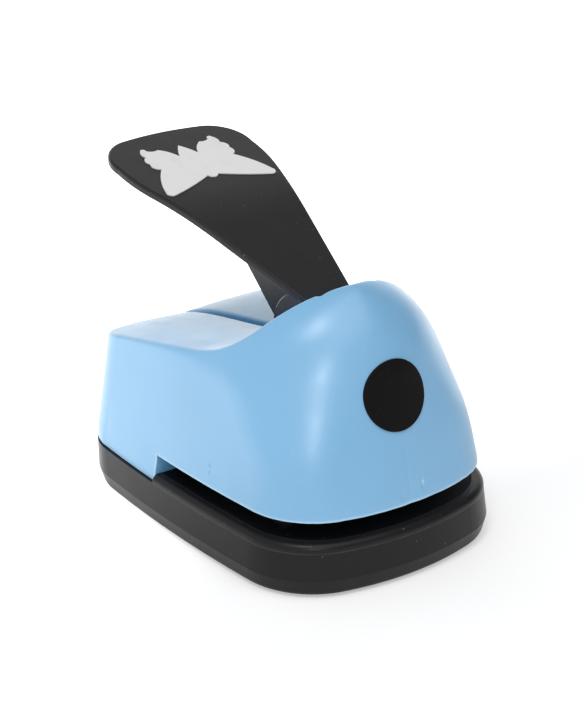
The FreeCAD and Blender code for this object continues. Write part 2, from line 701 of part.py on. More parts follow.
def screw(alias, head_bottom, shank_round, shank_length, up=1):
    """A pan-head screw with a cross recess. up=1 has its head on top, up=-1 below.

    alias names the pair of dimensions that hold its place, such as bracket_screw.
    """
    head_round, head_thick = size("screw_head_round"), size("screw_head_thick")
    head = Part.makeCylinder(head_round, head_thick, V(0, 0, 0), Z_AXIS)
    rim = [e for e in head.Edges if e.BoundBox.ZMin > head_thick - 0.01]
    head = head.makeFillet(head_thick * 0.4, rim)
    arm = head_round * 0.55
    for wide, deep in ((arm, 0.35), (0.35, arm)):
        head = head.cut(block(-wide, wide, -deep, deep, head_thick * 0.5, head_thick * 2))
    shank = Part.makeCylinder(shank_round, shank_length, V(0, 0, -shank_length), Z_AXIS)
    whole = head.fuse(shank).removeSplitter()
    if up < 0:
        whole.rotate(V(0, 0, 0), X_AXIS, 180)
    whole.translate(V(size(f"{alias}_x"), size(f"{alias}_y"), head_bottom))
    return whole


def make_screws():
    """The screws, one node for each pair."""
    shank, sunk = size("screw_round"), size("screw_head_top")
    frame = screw("frame_screw", sunk, shank, guide_top() - sunk - 0.4, up=-1)
    shape_part("frame_screws", Part.makeCompound(both_sides(frame)))
    length = size("bracket_thick") + size("guide_thick") - 0.3
    bracket = screw("bracket_screw", guide_top() + size("bracket_thick"), shank, length)
    shape_part("bracket_screws", Part.makeCompound(both_sides(bracket)))
    cover = screw("cover_screw", sunk, size("screw_pilot"), size("boss_hole_top") - 2.0 - sunk, up=-1)
    shape_part("cover_screws", Part.makeCompound(both_sides(cover)))


# ---------------------------------------------------------------- punch and carrier
def make_punch():
    """The cutting punch: the motif in tool steel, up to the carrier."""
    body = new_body("cutting_punch")
    sketch = tool_sketch(body, 0.0, "dims.punch_rest")
    pad(body, sketch, "dims.carrier_bottom - dims.punch_rest")


def make_punch_carrier():
    """The block that carries the punch, with spring pockets and guide bores."""
    body = new_body("punch_carrier")
    outline = sketch_on(body, "XY_Plane", "dims.carrier_bottom")
    rectangle(
        outline, "-dims.carrier_half_x", "dims.carrier_half_x", "dims.carrier_front", "dims.carrier_back"
    )
    pad(body, outline, "dims.carrier_top - dims.carrier_bottom")
    round_edges(body, 4.0, upright)
    bores = sketch_on(body, "XY_Plane", "dims.carrier_bottom")
    pockets = sketch_on(body, "XY_Plane", "dims.carrier_bottom")
    for side in ("", "-"):
        circle(bores, f"{side}dims.spring_x", "dims.spring_y", "dims.post_bore")
        circle(pockets, f"{side}dims.spring_x", "dims.spring_y", "dims.pocket_radius")
    pocket(body, bores, "dims.carrier_top - dims.carrier_bottom", reverse=True)
    pocket(body, pockets, "dims.spring_seat - dims.carrier_bottom", reverse=True)


def make_strike_plate():
    """The steel plate on the carrier that the lever's nose presses."""
    body = new_body("strike_plate")
    outline = sketch_on(body, "XY_Plane", "dims.carrier_top")
    rectangle(
        outline, "-dims.strike_half_x", "dims.strike_half_x",
        "dims.motif_y - dims.strike_half_y", "dims.motif_y + dims.strike_half_y",
    )
    pad(body, outline, "dims.strike_top - dims.carrier_top")
    round_edges(body, 2.0, upright)


def at_post_top(edge):
    return edge.BoundBox.ZMin > size("post_top") - 0.01


def make_guide_posts():
    """Two steel posts pressed into the guide plate, which the carrier slides on."""
    for side, sign in (("left", "-"), ("right", "")):
        body = new_body(f"guide_post_{side}")
        sketch = sketch_on(body, "XY_Plane", GUIDE_BOTTOM)
        circle(sketch, f"{sign}dims.spring_x", "dims.spring_y", "dims.post_radius")
        pad(body, sketch, f"dims.post_top - ({GUIDE_BOTTOM})")
        round_edges(body, 0.4, at_post_top, kind="PartDesign::Chamfer")


def make_return_springs():
    """Two compression springs round the posts, from the guide plate up into the carrier."""
    wire = size("spring_wire")
    low = guide_top() + wire + 0.05
    high = size("spring_seat") - wire - 0.05
    for side, sign in (("left", -1), ("right", 1)):
        helix = Part.makeLongHelix((high - low) / size("spring_turns"), high - low, size("spring_radius"), 0)
        section = Part.Wire(Part.makeCircle(wire, V(size("spring_radius"), 0, 0), Y_AXIS))
        coil = Part.Wire(helix).makePipeShell([section], True, True)
        coil.translate(V(sign * size("spring_x"), size("spring_y"), low))
        shape_part(f"return_spring_{side}", coil)


# ---------------------------------------------------------------- lever
def lever_line(y):
    """Height of the lever's top surface at y: a gentle slope, a long bend, a steeper neck."""
    paddle = math.tan(math.radians(size("paddle_slope")))
    neck = math.tan(math.radians(size("neck_slope")))
    knee_z = size("tip_z") - (size("tip_y") - size("bend_y")) * paddle
    if y >= size("bend_y"):
        return knee_z + (y - size("bend_y")) * paddle
    return knee_z + (y - size("bend_y")) * neck


def lever_profile(drop, front, back):
    """The lever's side line, lowered by drop, from front to back: two slopes and a bend."""
    knee = V(0, size("bend_y"), lever_line(size("bend_y")) - drop)
    paddle = math.radians(size("paddle_slope"))
    neck = math.radians(size("neck_slope"))
    reach = size("bend_radius") * math.tan((neck - paddle) / 2)
    start = V(0, front, lever_line(front) - drop)
    finish = V(0, back, lever_line(back) - drop)
    into = knee - V(0, math.cos(neck), math.sin(neck)) * reach
    out = knee + V(0, math.cos(paddle), math.sin(paddle)) * reach
    sagitta = reach * math.tan((neck - paddle) / 4)
    middle = (into + out) * 0.5 + V(0, -math.sin(paddle), math.cos(paddle)) * sagitta
    return [
        Part.LineSegment(start, into).toShape(),
        Part.Arc(into, middle, out).toShape(),
        Part.LineSegment(out, finish).toShape(),
    ]


def paddle_outline():
    """The lever's plan: a broad round-cornered end, a straight taper, a narrow neck."""
    tip, wide, corner = size("tip_y"), size("paddle_half_x"), size("paddle_corner")
    taper_end = V(size("taper_end_x"), size("taper_end_y"), 0)
    neck = V(size("neck_half_x"), size("neck_y"), 0)
    run = (taper_end - neck).normalize()
    root = V(neck.x - (neck.y - size("root_y")) * run.x / run.y, size("root_y"), 0)
    widest = V(wide, tip - corner - 2.6, 0)
    bulge = V((taper_end.x + wide) / 2 + 0.45, (taper_end.y + widest.y) / 2, 0)
    corner_end = V(wide - corner, tip - 0.65, 0)
    corner_middle = V(wide - 2.15, tip - 3.6, 0)
    right = [
        Part.LineSegment(root, taper_end).toShape(),
        Part.Arc(taper_end, bulge, widest).toShape(),
        Part.Arc(widest, corner_middle, corner_end).toShape(),
    ]
    end_arc = Part.Arc(corner_end, V(0, tip, 0), V(-corner_end.x, corner_end.y, 0)).toShape()
    left = [edge.mirror(V(0, 0, 0), X_AXIS) for edge in reversed(right)]
    foot = Part.LineSegment(V(-root.x, root.y, 0), root).toShape()
    return Part.Wire(Part.__sortEdges__(right + [end_arc] + left + [foot]))


def on_lever_rim(edge):
    """True for the edges round the plate's top face, but not for those across it."""
    middle = edge.valueAt((edge.FirstParameter + edge.LastParameter) / 2)
    on_top = abs(middle.z - lever_line(middle.y)) < 0.35
    return on_top and (abs(middle.x) > 1 or middle.y > size("tip_y") - 1)


def make_lever():
    """The black lever: paddle and neck plate, a keel under them, a round nose and a boss."""
    thick = size("lever_thick")
    front, back = size("root_y") - 5, size("tip_y") + 5
    top = lever_profile(0, front, back)
    bottom = lever_profile(thick, front, back)
    ends = [
        Part.LineSegment(V(0, y, lever_line(y)), V(0, y, lever_line(y) - thick)).toShape()
        for y in (front, back)
    ]
    side = Part.Face(Part.Wire(Part.__sortEdges__(top + bottom + ends)))
    sheet_solid = side.extrude(V(60, 0, 0))
    sheet_solid.translate(V(-30, 0, 0))
    plate = sheet_solid.common(slab(paddle_outline(), 120)).removeSplitter()
    plate = plate.makeFillet(size("lever_round"), [e for e in plate.Edges if on_lever_rim(e)])
    y, z = size("pivot_y"), size("pivot_z")
    keel_points = [
        V(0, size("keel_end_y"), lever_line(size("keel_end_y")) - thick / 2),
        V(0, size("keel_foot_y"), size("keel_foot_z")),
        V(0, size("nose_y") + 4, size("nose_z") - 8.0),
        V(0, y + 2, z - 5.4),
        V(0, y - 4.0, z + 2.0),
        V(0, y - 3.0, lever_line(y - 3.0) - thick / 2),
        V(0, size("bend_y"), lever_line(size("bend_y")) - thick / 2),
    ]
    half = size("keel_half_x")
    keel = Part.Face(Part.makePolygon(keel_points + keel_points[:1])).extrude(V(2 * half, 0, 0))
    keel.translate(V(-half, 0, 0))
    half = size("nose_half_x")
    nose = drum(size("nose_radius"), -half, half, size("nose_y"), size("nose_z"))
    nose = nose.makeChamfer(0.5, [e for e in nose.Edges if e.BoundBox.XLength < 0.01])
    boss = drum(size("boss_radius"), -size("boss_half_x"), size("boss_half_x"), y, z)
    start, end = V(0, front, lever_line(front) - thick / 2), V(0, size("nose_y") + 12, 0)
    end.z = lever_line(end.y) - thick / 2
    under = Part.Face(Part.makePolygon([start, end, V(0, end.y, 0), V(0, start.y, 0), start]))
    below = under.extrude(V(40, 0, 0))
    below.translate(V(-20, 0, 0))
    lever = plate.fuse([keel, nose.common(below), boss.common(below)])
    lever = lever.cut(drum(size("pin_bore"), -20, 20, y, z))
    return shape_part("lever", lever.removeSplitter())


# ---------------------------------------------------------------- surface pieces
def make_motif_sticker():
    """The pale motif on the paddle, a thin film lying on its slope."""
    slope = size("paddle_slope")
    film = motif_face(0, 0).extrude(V(0, 0, size("sticker_thick")))
    film.rotate(V(0, 0, 0), X_AXIS, slope)
    film.translate(V(0, size("sticker_y"), lever_line(size("sticker_y"))))
    return shape_part("motif_sticker", film)


def make_front_badge():
    """A plain round badge on the leaning front face, curved to it."""
    lean = math.tan(math.radians(size("front_lean")))
    face_y = size("front_y") + (size("badge_z") - size("slot_top")) * lean
    stamp = Part.makeCylinder(size("badge_radius"), 8, V(0, face_y - 4, size("badge_z")), Y_AXIS)
    stretched = FreeCAD.Matrix()
    stretched.scale(V(size("badge_stretch"), 1, 1))
    stamp = stamp.transformGeometry(stretched)
    film = cover_form(-size("badge_thick")).cut(cover_form(0.0))
    badge = film.common(stamp)
    return shape_part("front_badge", badge.removeSplitter())


def check_and_write():
    """Refuse to write anything unless every object and every shape is sound."""
    doc.recompute()
    for thing in doc.Objects:
        if "Invalid" in thing.State or "Error" in thing.State:
            raise RuntimeError(f"{thing.Label} failed: {thing.State}")
    for part in sub_parts:
        if part.Shape.isNull() or not part.Shape.isValid():
            raise RuntimeError(f"{part.Label} has no sound shape")
    os.makedirs("parts", exist_ok=True)
    for part in sub_parts:
        part.Shape.exportStep(f"parts/{part.Label}.step")


make_upper_cover()
make_base_tray()
make_base_rim()
make_paper_table()
make_feet()
make_die_plate()
make_gap_spacer()
make_guide_plate()
make_pivot_bracket()
make_pivot_pin()
make_pin_clips()
make_screws()
make_punch()
make_punch_carrier()
make_strike_plate()
make_guide_posts()
make_return_springs()
make_lever()
make_motif_sticker()
make_front_badge()
check_and_write()
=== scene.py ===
"""Looks for the lever craft punch: materials, the moulded cover, light, floor and camera.

Metres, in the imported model's frame: +Z up, the paper slot faces -Y, the lever reaches to +Y.
"""

import bpy
import json
import math
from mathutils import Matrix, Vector


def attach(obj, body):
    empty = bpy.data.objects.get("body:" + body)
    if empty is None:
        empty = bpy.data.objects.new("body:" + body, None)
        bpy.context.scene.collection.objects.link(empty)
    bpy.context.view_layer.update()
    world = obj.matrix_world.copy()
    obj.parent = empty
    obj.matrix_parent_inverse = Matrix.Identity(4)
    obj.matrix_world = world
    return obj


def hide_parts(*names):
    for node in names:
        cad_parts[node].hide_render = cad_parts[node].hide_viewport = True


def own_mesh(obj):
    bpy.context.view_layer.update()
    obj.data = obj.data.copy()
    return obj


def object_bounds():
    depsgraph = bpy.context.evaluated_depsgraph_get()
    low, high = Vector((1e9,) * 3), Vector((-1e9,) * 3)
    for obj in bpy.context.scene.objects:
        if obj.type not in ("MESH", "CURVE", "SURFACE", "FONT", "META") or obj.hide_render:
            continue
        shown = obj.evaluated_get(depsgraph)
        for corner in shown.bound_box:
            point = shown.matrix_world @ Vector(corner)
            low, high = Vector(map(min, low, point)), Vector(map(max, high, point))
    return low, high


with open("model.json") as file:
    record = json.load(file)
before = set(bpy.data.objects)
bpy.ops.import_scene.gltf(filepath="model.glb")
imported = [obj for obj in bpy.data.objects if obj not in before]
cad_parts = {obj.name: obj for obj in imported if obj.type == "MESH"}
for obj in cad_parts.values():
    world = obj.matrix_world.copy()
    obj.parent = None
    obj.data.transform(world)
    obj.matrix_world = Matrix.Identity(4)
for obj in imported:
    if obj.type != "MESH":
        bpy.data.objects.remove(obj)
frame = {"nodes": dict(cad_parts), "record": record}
cad_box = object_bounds()

MM = 0.001

# The camera: where it stands round the object in degrees, how far off, and its lens.
CAMERA_AZIMUTH = -36.78
CAMERA_ELEVATION = 23.03
CAMERA_DISTANCE = 436.35 * MM
CAMERA_LENS = 100.2
CAMERA_SENSOR = 36.0

# The floor's own light, before the object and behind it, and where it changes along Y.
FLOOR_GLOW_FRONT = 0.36
FLOOR_GLOW_BACK = 1.35
FLOOR_GLOW_FROM = -30 * MM
FLOOR_GLOW_TO = 60 * MM
FLOOR_REACH = 6.0

# The sky's brightness at elevations in degrees, round the object and on the bright wall behind it.
SKY_AROUND = ((0, 0.65), (25, 0.70), (60, 0.62), (85, 0.45))
SKY_BACK = ((0, 1.4), (26, 1.3), (40, 0.80), (50, 0.45))
SKY_LEFT_GAIN = 1.15
SKY_RIGHT_GAIN = 0.22
SKY_SIDE_REACH = 0.7

# Towards the bright wall, and the cosines at which it begins and is at its full brightness.
BACKLIGHT = (0.42, 0.91, 0.0)
BACKLIGHT_EDGE = 0.5
BACKLIGHT_FULL = 0.88

# Soft lights: name, azimuth, elevation, distance, width, height, brightness.
SOFTBOXES = (
    ("overhead", 0, 67, 1.5, 1.3, 1.3, 0.36),
    ("high_left", -60, 64, 1.2, 0.26, 0.26, 0.17),
    ("beside_camera", -33, 27, 1.2, 0.12, 0.18, 0.13),
)

# Places on the cover, in the CAD model's millimetres.
GROOVE_HALF_X = 1.4
OPENING_BACK_Y = -4.4
THROAT_Y = 5.75
SLOT_TOP = 16.2
SEAT_Z = 10.2

# How the cover is softened: its grain, its smoothing passes, where they start, and how much they
# do at the keel groove. The skirt is made longer by a spare length, and trimmed to size afterwards;
# a vertex belongs to one of its edges when it lies within SNAP of it.
COVER_VOXEL = 0.3 * MM
EDGE_PASSES = 34
SKIN_PASSES = 4
SMOOTHING = 0.5
ROUNDED_ABOVE_Z = 27
GROOVE_SOFTNESS = 0.10
SKIRT_SPARE = 1.5 * MM
SNAP = 0.02 * MM

# Sink marks on the cover: the place in millimetres, and the way in.
SINK_MARKS = (
    ((-29.0, -13.5, 20.1), (1, 0, 0)),
    ((3.3, -43.2, 19.5), (0, 1, 0)),
)


# ---------------------------------------------------------------- material helpers
class Surface:
    """One procedural material: a Principled shader fed from a few noises in millimetres."""

    def __init__(self, name, colour, roughness, metallic=0.0, specular=0.5):
        self.material = bpy.data.materials.new(name)
        self.material.use_nodes = True
        self.tree = self.material.node_tree
        self.shader = self.tree.nodes["Principled BSDF"]
        self.set("Base Color", (*colour, 1.0))
        self.set("Roughness", roughness)
        self.set("Metallic", metallic)
        self.set("Specular IOR Level", specular)
        self.colour = colour
        self.roughness = roughness

    def set(self, socket, value):
        self.shader.inputs[socket].default_value = value

    def node(self, kind, **settings):
        made = self.tree.nodes.new(kind)
        for key, value in settings.items():
            setattr(made, key, value)
        return made

    def link(self, source, target):
        self.tree.links.new(source, target)

    def noise(self, grain_mm, detail=2.0, stretch=(1, 1, 1), low=0.35, high=0.65):
        """A noise whose grains are about grain_mm across, spread from 0 to 1."""
        place = self.node("ShaderNodeTexCoord")
        mapping = self.node("ShaderNodeMapping")
        mapping.inputs["Scale"].default_value = [1 / (grain_mm * MM * s) for s in stretch]
        self.link(place.outputs["Object"], mapping.inputs["Vector"])
        noise = self.node("ShaderNodeTexNoise")
        noise.inputs["Scale"].default_value = 1.0
        noise.inputs["Detail"].default_value = detail
        self.link(mapping.outputs["Vector"], noise.inputs["Vector"])
        spread = self.node("ShaderNodeMapRange", clamp=True)
        spread.inputs["From Min"].default_value = low
        spread.inputs["From Max"].default_value = high
        self.link(noise.outputs["Fac"], spread.inputs["Value"])
        return spread.outputs["Result"]

    def edges(self, radius_mm, low=0.02, high=0.35):
        """A mask that is 1 on sharp convex and concave edges within radius_mm."""
        bevel = self.node("ShaderNodeBevel", samples=4)
        bevel.inputs["Radius"].default_value = radius_mm * MM
        geometry = self.node("ShaderNodeNewGeometry")
        dot = self.node("ShaderNodeVectorMath", operation="DOT_PRODUCT")
        self.link(bevel.outputs["Normal"], dot.inputs[0])
        self.link(geometry.outputs["Normal"], dot.inputs[1])
        spread = self.node("ShaderNodeMapRange", clamp=True)
        spread.inputs["From Min"].default_value = 1 - low
        spread.inputs["From Max"].default_value = 1 - high
        self.link(dot.outputs["Value"], spread.inputs["Value"])
        return spread.outputs["Result"]

    def cavity(self, reach_mm, open_share, closed_share):
        """A mask that grows to 1 in grooves and gaps whose walls face each other within reach_mm."""
        occlusion = self.node("ShaderNodeAmbientOcclusion", samples=6)
        occlusion.inputs["Distance"].default_value = reach_mm * MM
        spread = self.node("ShaderNodeMapRange", clamp=True)
        spread.inputs["From Min"].default_value = open_share
        spread.inputs["From Max"].default_value = closed_share
        self.link(occlusion.outputs["AO"], spread.inputs["Value"])
        return spread.outputs["Result"]

    def multiply(self, first, second):
        product = self.node("ShaderNodeMath", operation="MULTIPLY")
        self.link(first, product.inputs[0])
        self.link(second, product.inputs[1])
        return product.outputs["Value"]

    def blend_colour(self, *layers):
        """The base colour, mixed towards each layer's colour where its mask is high."""
        previous = None
        for mask, colour in layers:
            mix = self.node("ShaderNodeMix", data_type="RGBA")
            under, over = mix.inputs[6], mix.inputs[7]
            if previous is None:
                under.default_value = (*self.colour, 1.0)
            else:
                self.link(previous, under)
            over.default_value = (*colour, 1.0)
            self.link(mask, mix.inputs[0])
            previous = mix.outputs[2]
        self.link(previous, self.shader.inputs["Base Color"])

    def vary_roughness(self, *layers):
        """The roughness, moved by each layer's amount where its mask is high."""
        previous = None
        for mask, amount in layers:
            part = self.node("ShaderNodeMath", operation="MULTIPLY_ADD")
            self.link(mask, part.inputs[0])
            part.inputs[1].default_value = amount
            if previous is None:
                part.inputs[2].default_value = self.roughness
            else:
                self.link(previous, part.inputs[2])
            previous = part.outputs["Value"]
        self.link(previous, self.shader.inputs["Roughness"])

    def bump(self, *layers):
        """Bumps laid over each other: each layer is (height mask, height in millimetres)."""
        previous = None
        for mask, height_mm in layers:
            bump = self.node("ShaderNodeBump")
            bump.inputs["Strength"].default_value = 1.0
            bump.inputs["Distance"].default_value = height_mm * MM
            self.link(mask, bump.inputs["Height"])
            if previous is not None:
                self.link(previous, bump.inputs["Normal"])
            previous = bump.outputs["Normal"]
        self.link(previous, self.shader.inputs["Normal"])


def shade(colour, factor):
    """The colour made lighter or darker."""
    return tuple(min(1.0, channel * factor) for channel in colour)


# ---------------------------------------------------------------- materials
def moulded_plastic(name, colour, roughness, specular, worn, deep, open_share=0.62, edge_mm=0.45):
    """Moulded plastic: slow colour drift, satin grain, scuffs, dust, edges lightened by wear and a painted
    highlight, and a painted shade colour in the gaps.
    """
    surface = Surface(name, colour, roughness, specular=specular)
    drift = surface.noise(24, detail=1.0)
    cloud = surface.noise(5, detail=3.0)
    grain = surface.noise(0.5, detail=2.0, low=0.2, high=0.8)
    ripple = surface.noise(9, detail=0.0, low=0.2, high=0.8)
    scuff = surface.noise(1.1, detail=3.0, stretch=(1, 9, 1), low=0.66, high=0.78)
    dust = surface.noise(0.7, detail=0.0, low=0.83, high=0.86)
    # The edge colour is partly wear and partly a painted highlight along the rounded edges.
    worn_and_highlit_edge = surface.multiply(surface.edges(edge_mm), surface.noise(7, detail=2.0, low=0.1, high=0.5))
    # Painted shade: the deep colour is laid where grooves and gaps are occluded, standing in for shade and
    # bounced light there; the gaps are made duller too.
    gaps = surface.cavity(9, open_share, open_share - 0.42)
    surface.blend_colour(
        (drift, shade(colour, 0.965)),
        (scuff, shade(colour, 1.04)),
        (worn_and_highlit_edge, worn),
        (gaps, deep),
        (dust, tuple(0.8 * channel + 0.06 for channel in colour)),
    )
    surface.vary_roughness((cloud, 0.05), (scuff, 0.08), (worn_and_highlit_edge, -0.06), (gaps, 0.20))
    surface.bump((ripple, 0.012), (grain, 0.004), (scuff, 0.002))
    return surface.material


def brushed_steel(name, colour, roughness, along=(1, 14, 1)):
    """Rolled or ground steel: fine lines one way, dull patches, bright worn edges."""
    surface = Surface(name, colour, roughness, metallic=1.0)
    surface.set("Anisotropic", 0.35)
    lines = surface.noise(0.16, detail=2.0, stretch=along, low=0.25, high=0.75)
    patch = surface.noise(6, detail=3.0)
    speck = surface.noise(0.5, detail=2.0, low=0.68, high=0.76)
    edge = surface.edges(0.25)
    surface.blend_colour(
        (patch, shade(colour, 0.86)),
        (speck, shade(colour, 0.7)),
        (edge, shade(colour, 1.25)),
    )
    surface.vary_roughness((lines, 0.12), (patch, 0.07), (edge, -0.08))
    surface.bump((lines, 0.003), (patch, 0.002))
    return surface.material


def turned_steel(name, colour, roughness):
    """Plated turned steel: faint rings and a few dull spots."""
    surface = Surface(name, colour, roughness, metallic=1.0)
    rings = surface.noise(0.12, detail=1.0, stretch=(20, 20, 1), low=0.3, high=0.7)
    spots = surface.noise(1.5, detail=3.0, low=0.6, high=0.75)
    surface.blend_colour((spots, shade(colour, 0.8)))
    surface.vary_roughness((rings, 0.06), (spots, 0.15))
    surface.bump((rings, 0.002))
    return surface.material


def foot_rubber():
    """Soft matt rubber with a pebbled skin and a dusting on it."""
    colour = (0.018, 0.018, 0.019)
    surface = Surface("foot_rubber", colour, 0.82, specular=0.3)
    pebble = surface.noise(0.35, detail=2.0)
    dust = surface.noise(2.2, detail=4.0, low=0.5, high=0.7)
    surface.blend_colour((dust, (0.06, 0.058, 0.055)))
    surface.vary_roughness((pebble, 0.1))
    surface.bump((pebble, 0.03))
    return surface.material


def sticker_film():
    """Pale printed film: very slight orange peel and faint press marks."""
    colour = (0.71, 0.71, 0.715)
    surface = Surface("sticker_film", colour, 0.38, specular=0.35)
    peel = surface.noise(0.9, detail=1.0, low=0.2, high=0.8)
    marks = surface.noise(3.5, detail=4.0, low=0.52, high=0.74)
    surface.blend_colour((marks, shade(colour, 0.95)))
    surface.vary_roughness((marks, 0.1))
    surface.bump((peel, 0.006))
    return surface.material


def badge_film():
    """Black satin film with a very thin clear coat and a little dust."""
    colour = (0.006, 0.0055, 0.006)
    surface = Surface("badge_film", colour, 0.42, specular=0.06)
    surface.set("Coat Weight", 0.05)
    surface.set("Coat Roughness", 0.25)
    peel = surface.noise(0.8, detail=1.0, low=0.2, high=0.8)
    dust = surface.noise(0.35, detail=2.0, low=0.7, high=0.8)
    surface.blend_colour((dust, (0.05, 0.05, 0.052)))
    surface.vary_roughness((peel, 0.05))
    surface.bump((peel, 0.005))
    return surface.material


def make_materials():
    cover_blue = (0.196, 0.429, 0.667)
    base_black = (0.010, 0.010, 0.011)
    table_black = (0.0015, 0.0020, 0.0035)
    lever_grey = (0.016, 0.016, 0.017)
    # Painted reflection: navy laid in the lever's occluded gaps, standing in for the blue cover reflected
    # there in shade.
    painted_reflection_navy = (0.006, 0.018, 0.046)
    carrier_grey = (0.040, 0.042, 0.048)
    # Painted shade: a deeper, bluer colour laid in the cover's groove and gaps where they are occluded.
    painted_shade_blue = (0.100, 0.370, 0.700)
    # Painted highlight: the cover's pale edge colour is partly wear and partly a highlight painted along its
    # rounded edges.
    worn_and_highlight_blue = (0.52, 0.72, 0.88)
    worn_black = (0.06, 0.06, 0.062)
    # Painted highlight: the grey edge colour of the lever is partly wear and partly a highlight painted
    # along its edges.
    worn_and_highlight_grey = (0.13, 0.13, 0.135)
    return {
        "cover_plastic": moulded_plastic(
            "cover_plastic", cover_blue, 0.28, 0.62, worn_and_highlight_blue, painted_shade_blue, edge_mm=1.2
        ),
        "base_plastic": moulded_plastic("base_plastic", base_black, 0.30, 0.20, worn_black, base_black),
        "table_plastic": moulded_plastic("table_plastic", table_black, 0.6, 0.12, base_black, table_black),
        "lever_plastic": moulded_plastic("lever_plastic", lever_grey, 0.33, 0.22, worn_and_highlight_grey, painted_reflection_navy, 0.9),
        "carrier_plastic": moulded_plastic(
            "carrier_plastic", carrier_grey, 0.5, 0.4, worn_and_highlight_grey, carrier_grey
        ),
        "foot_rubber": foot_rubber(),
        "plate_steel": brushed_steel("plate_steel", (0.52, 0.53, 0.54), 0.34),
        "tool_steel": brushed_steel("tool_steel", (0.42, 0.42, 0.43), 0.28, along=(14, 1, 1)),
        "pin_steel": turned_steel("pin_steel", (0.62, 0.63, 0.64), 0.16),
        "screw_steel": turned_steel("screw_steel", (0.48, 0.49, 0.50), 0.3),
        "spring_steel": turned_steel("spring_steel", (0.38, 0.39, 0.41), 0.3),
        "sticker_film": sticker_film(),
        "badge_film": badge_film(),
    }


def dress_nodes(materials):
    """Give every CAD node the material of its slot in the record."""
    for entry in frame["record"]["subparts"]:
        node = frame["nodes"][entry["node"]]
        material = materials[entry["material_slot"]]
        for slot in node.material_slots:
            slot.material = material


# ---------------------------------------------------------------- the moulded cover
def group_by(piece, name, weight_at):
    """A vertex group whose weights come from a function of the vertex's place in millimetres."""
    group = piece.vertex_groups.new(name=name)
    for vertex in piece.data.vertices:
        weight = weight_at(*(vertex.co / MM))
        if weight > 0.001:
            group.add([vertex.index], weight, "REPLACE")


def baked(piece):
    """The piece with its modifiers applied."""
    depsgraph = bpy.context.evaluated_depsgraph_get()
    mesh = bpy.data.meshes.new_from_object(piece.evaluated_get(depsgraph))
    piece.modifiers.clear()
    piece.data = mesh
    return piece


def soft_edge_weight(x, y, z):
    """How strongly the cover's edges are rounded: most round the deck and hood, less at the groove."""
    fade = 3.0
    rise = min(1.0, max(0.0, (z - ROUNDED_ABOVE_Z) / fade))
    to_groove = max(0.0, abs(x) - GROOVE_HALF_X, OPENING_BACK_Y - y)
    return rise * (GROOVE_SOFTNESS + (1 - GROOVE_SOFTNESS) * min(1.0, to_groove / fade))


def lengthened_skirt(mesh):
    """Move the cover's lower edges down and its throat edges back, to be cut to size again later."""
    throat, slot_top, seat = THROAT_Y * MM, SLOT_TOP * MM, SEAT_Z * MM
    margin = 0.1 * MM
    for vertex in mesh.vertices:
        place = vertex.co
        at_throat = abs(place.y - throat) < SNAP and place.z < slot_top + margin
        on_slot_top = abs(place.z - slot_top) < SNAP and place.y < throat + margin
        on_seat = abs(place.z - seat) < SNAP
        if at_throat:
            place.y -= SKIRT_SPARE
        if on_slot_top or on_seat:
            place.z -= SKIRT_SPARE


def skirt_cutter():
    """A stepped block that trims the cover's lower edges: high over the slot, low behind it."""
    far, deep = 80, -20
    profile = (
        (-far, deep),
        (far, deep),
        (far, SEAT_Z),
        (THROAT_Y, SEAT_Z),
        (THROAT_Y, SLOT_TOP),
        (-far, SLOT_TOP),
    )
    near_side = [(-far * MM, y * MM, z * MM) for y, z in profile]
    far_side = [(far * MM, y * MM, z * MM) for y, z in profile]
    count = len(profile)
    walls = [(i, (i + 1) % count, (i + 1) % count + count, i + count) for i in range(count)]
    ends = [tuple(range(count - 1, -1, -1)), tuple(range(count, 2 * count))]
    mesh = bpy.data.meshes.new("skirt_cutter")
    mesh.from_pydata(near_side + far_side, [], walls + ends)
    cutter = bpy.data.objects.new("skirt_cutter", mesh)
    bpy.context.scene.collection.objects.link(cutter)
    return cutter


def sink_mark(co, centre, inward):
    """Push a vertex in a little where it lies in a sink mark: a small upright oval dent."""
    half_width, half_height, depth, skin = 0.5 * MM, 1.7 * MM, 0.4 * MM, 1.2 * MM
    across = (co - centre).dot(Vector((-inward.y, inward.x, 0)))
    away = abs((co - centre).dot(inward))
    up = co.z - centre.z
    reach = math.hypot(across / half_width, up / half_height)
    if reach < 1 and away < skin:
        co += inward * depth * (1 - reach * reach) ** 2


def make_cover_shell(material):
    """The cover with its mould's rounded edges, crisp lower edges and two faint sink marks."""
    source = frame["nodes"]["upper_cover"]
    shell = bpy.data.objects.new("cover_shell", source.data.copy())
    bpy.context.scene.collection.objects.link(shell)
    lengthened_skirt(shell.data)
    remesh = shell.modifiers.new("skin", "REMESH")
    remesh.mode = "VOXEL"
    remesh.voxel_size = COVER_VOXEL
    remesh.use_smooth_shade = True
    baked(shell)
    group_by(shell, "soft", soft_edge_weight)
    soft = shell.modifiers.new("soft", "SMOOTH")
    soft.vertex_group = "soft"
    soft.iterations = EDGE_PASSES
    soft.factor = SMOOTHING
    fine = shell.modifiers.new("fine", "SMOOTH")
    fine.iterations = SKIN_PASSES
    fine.factor = SMOOTHING
    baked(shell)
    cutter = skirt_cutter()
    trim = shell.modifiers.new("trim", "BOOLEAN")
    trim.operation = "DIFFERENCE"
    trim.solver = "MANIFOLD"
    trim.object = cutter
    baked(shell)
    bpy.data.objects.remove(cutter)
    for vertex in shell.data.vertices:
        for place, inward in SINK_MARKS:
            sink_mark(vertex.co, Vector(place) * MM, Vector(inward))
    shell.data.shade_smooth()
    shell.data.set_sharp_from_angle(angle=math.radians(40))
    shell.data.materials.clear()
    shell.data.materials.append(material)
    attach(shell, "root")
    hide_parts("upper_cover")


